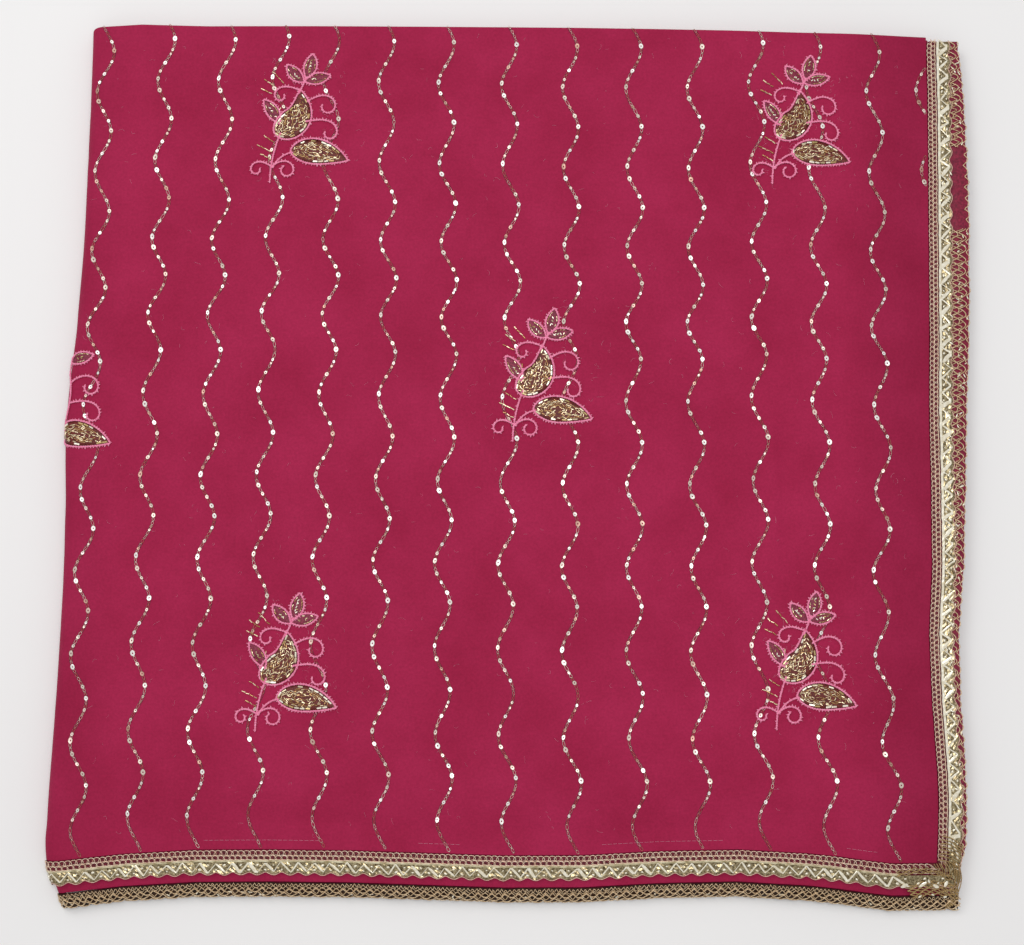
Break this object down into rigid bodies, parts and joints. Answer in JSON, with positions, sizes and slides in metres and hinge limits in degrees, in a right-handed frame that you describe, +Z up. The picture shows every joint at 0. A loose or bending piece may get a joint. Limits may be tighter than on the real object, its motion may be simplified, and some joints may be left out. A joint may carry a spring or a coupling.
{
  "type": "folded embroidered saree",
  "caption": "Rose georgette saree folded into a flat square pile, with wavy sequin lines, beaded paisley motifs and a scalloped metallic lace border.",
  "frame": {"origin": "middle of the rectangle of floor that the folded saree covers, on the floor", "axes": "+X to the end with the lace border, away from the round fold; +Y from the hem lace to the far fold; +Z up"},
  "size_m": [0.6044, 0.5888, 0.0218],
  "materials": {
    "georgette": "deep rose georgette, soft matt, with a faint sheen at grazing angles",
    "metallic_lace": "antique gold metallic thread crochet lace with silver foil strips",
    "embroidery": "bright pink silk chain stitch round antique gold cut beads",
    "sequins": "small cupped sequins, silvery and half clear, held by copper thread"
  },
  "bodies": {
    "root": {"face_cloth": "georgette", "back_cloth": "georgette", "inner_layers": "georgette", "face_hem_lace": "metallic_lace", "face_end_lace": "metallic_lace", "back_hem_lace": "metallic_lace", "back_end_lace": "metallic_lace", "lower_hem_lace": "metallic_lace", "motif_far_left": "embroidery", "motif_far_right": "embroidery", "motif_centre": "embroidery", "motif_near_left": "embroidery", "motif_near_right": "embroidery", "motif_left_fold": "embroidery"}
  },
  "joints": []
}
